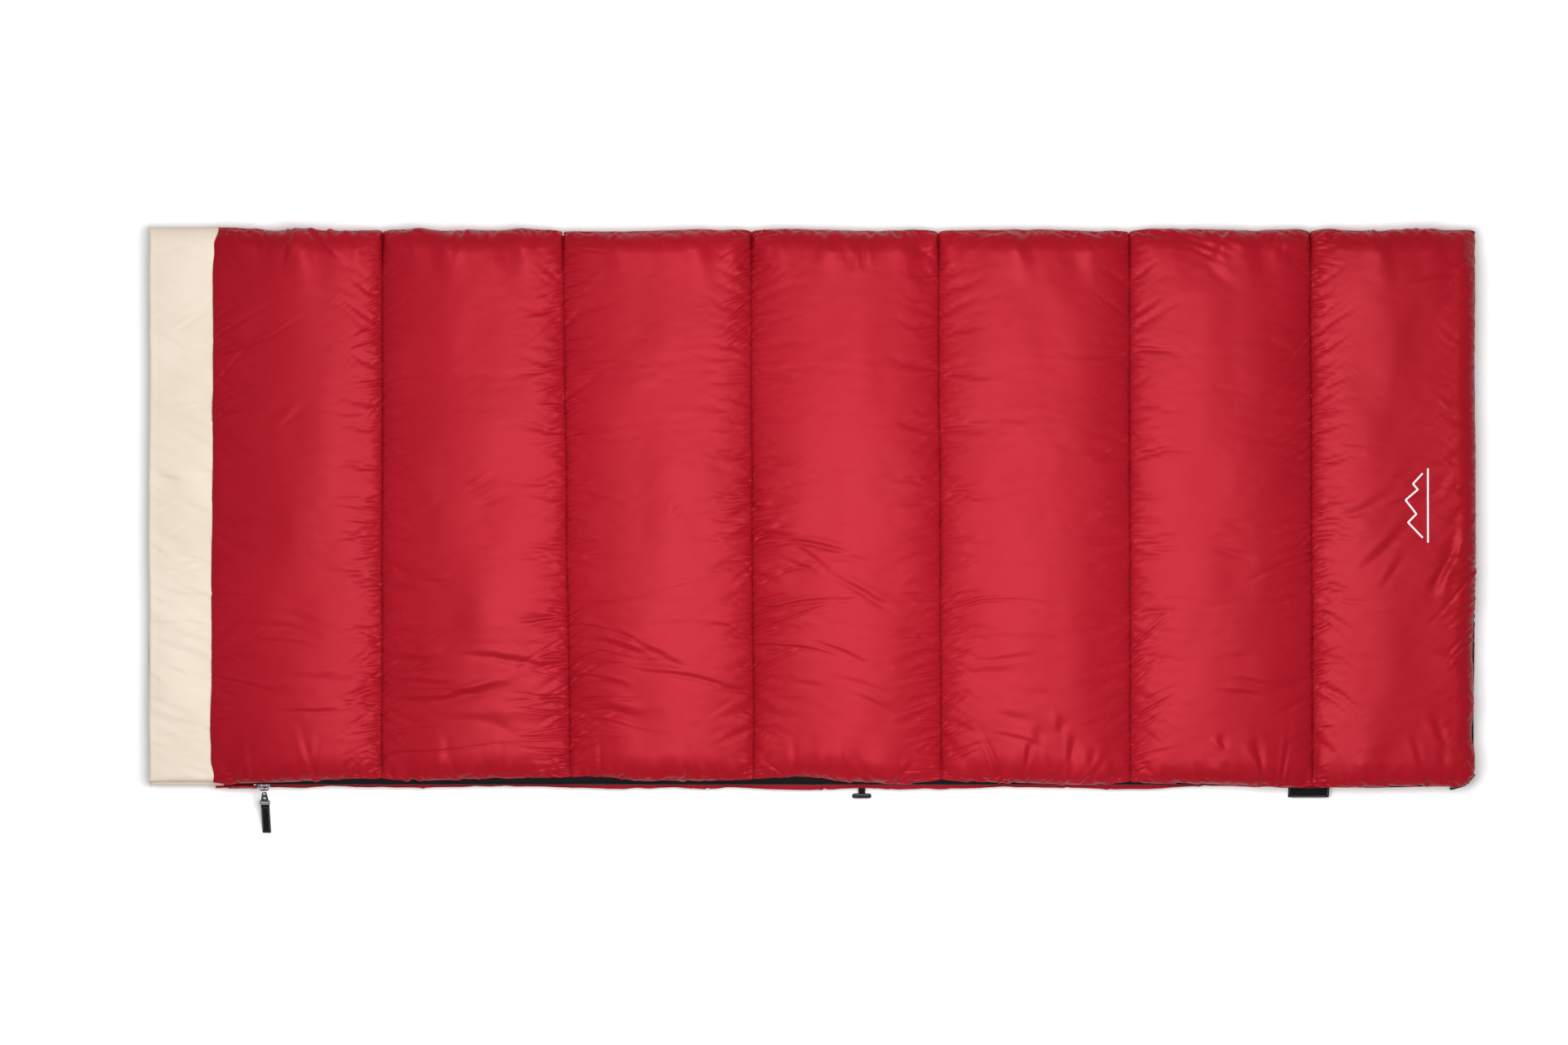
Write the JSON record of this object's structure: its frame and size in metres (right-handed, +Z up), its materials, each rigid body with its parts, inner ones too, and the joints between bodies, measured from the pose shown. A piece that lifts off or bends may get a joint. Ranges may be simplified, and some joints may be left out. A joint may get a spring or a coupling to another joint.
{
  "type": "rectangular sleeping bag",
  "caption": "Rectangular sleeping bag with channel-quilted upper and lower quilts, a padded head band and a zip that runs down the side and along the foot.",
  "frame": {"origin": "centre of the bag's outline, on the flat underside of its middle channel", "axes": "+X from the head end to the foot end, +Y from the zip side to the fold, +Z up"},
  "size_m": [1.905, 0.8718, 0.072],
  "materials": {
    "shell_cloth": "satin woven",
    "lining_cloth": "matt woven",
    "fibre_fill": "matt fibre",
    "head_band": "matt woven",
    "zip_tape": "matt woven",
    "zip_teeth": "semi-matt",
    "slider_metal": "dark satin",
    "bright_metal": "bright",
    "webbing": "ribbed woven",
    "toggle_plastic": "semi-matt",
    "elastic": "braided"
  },
  "bodies": {
    "base": {"lower_shell": "shell_cloth", "lower_lining": "lining_cloth", "lower_fill_1": "fibre_fill", "lower_fill_2": "fibre_fill", "lower_fill_3": "fibre_fill", "lower_fill_4": "fibre_fill", "lower_fill_5": "fibre_fill", "lower_fill_6": "fibre_fill", "lower_fill_7": "fibre_fill", "lower_head_band": "head_band", "lower_zip_tape": "zip_tape", "lower_zip_teeth": "zip_teeth", "lower_top_stop": "bright_metal", "retainer_box": "zip_teeth", "garage_flap": "shell_cloth", "side_label": "webbing", "corner_loop": "elastic"},
    "cover": {"upper_shell": "shell_cloth", "upper_lining": "lining_cloth", "upper_fill_1": "fibre_fill", "upper_fill_2": "fibre_fill", "upper_fill_3": "fibre_fill", "upper_fill_4": "fibre_fill", "upper_fill_5": "fibre_fill", "upper_fill_6": "fibre_fill", "upper_fill_7": "fibre_fill", "upper_head_band": "head_band", "upper_zip_tape": "zip_tape", "upper_zip_teeth": "zip_teeth", "upper_top_stop": "bright_metal", "retainer_pin": "zip_teeth", "draft_tube": "lining_cloth"},
    "zip_slider": {"slider_body": "slider_metal", "slider_bail": "slider_metal"},
    "pull_ring": {"pull_ring": "bright_metal"},
    "zip_pull": {"pull_link": "slider_metal", "pull_clamp": "bright_metal", "pull_tab": "webbing"},
    "toggle": {"toggle_stem": "webbing", "toggle_bar": "toggle_plastic"}
  },
  "joints": [
    {"name": "cover_fold", "type": "hinge", "parent": "base", "child": "cover", "pos_m": [0, 0.4015, 0.036], "axis": [-1, 0, 0], "range_deg": [0, 180]},
    {"name": "slider_travel", "type": "slide", "parent": "base", "child": "zip_slider", "axis": [1, 0, 0], "range_m": [0, 1.69], "deforming": ["lower_zip_teeth", "upper_zip_teeth"]},
    {"name": "pull_swing", "type": "hinge", "parent": "zip_slider", "child": "pull_ring", "pos_m": [-0.7865, -0.4068, 0.036], "axis": [-1, 0, 0], "range_deg": [0, 118]},
    {"name": "link_turn", "type": "hinge", "parent": "pull_ring", "child": "zip_pull", "pos_m": [-0.7865, -0.4117, 0.0333], "axis": [0, -0.4826, 0.8758], "range_deg": [-50, 50]},
    {"name": "toggle_flex", "type": "hinge", "parent": "base", "child": "toggle", "pos_m": [0.072, -0.4026, 0.021], "axis": [-1, 0, 0], "range_deg": [-40, 90], "stiffness_Nm_per_rad": 0.001}
  ]
}
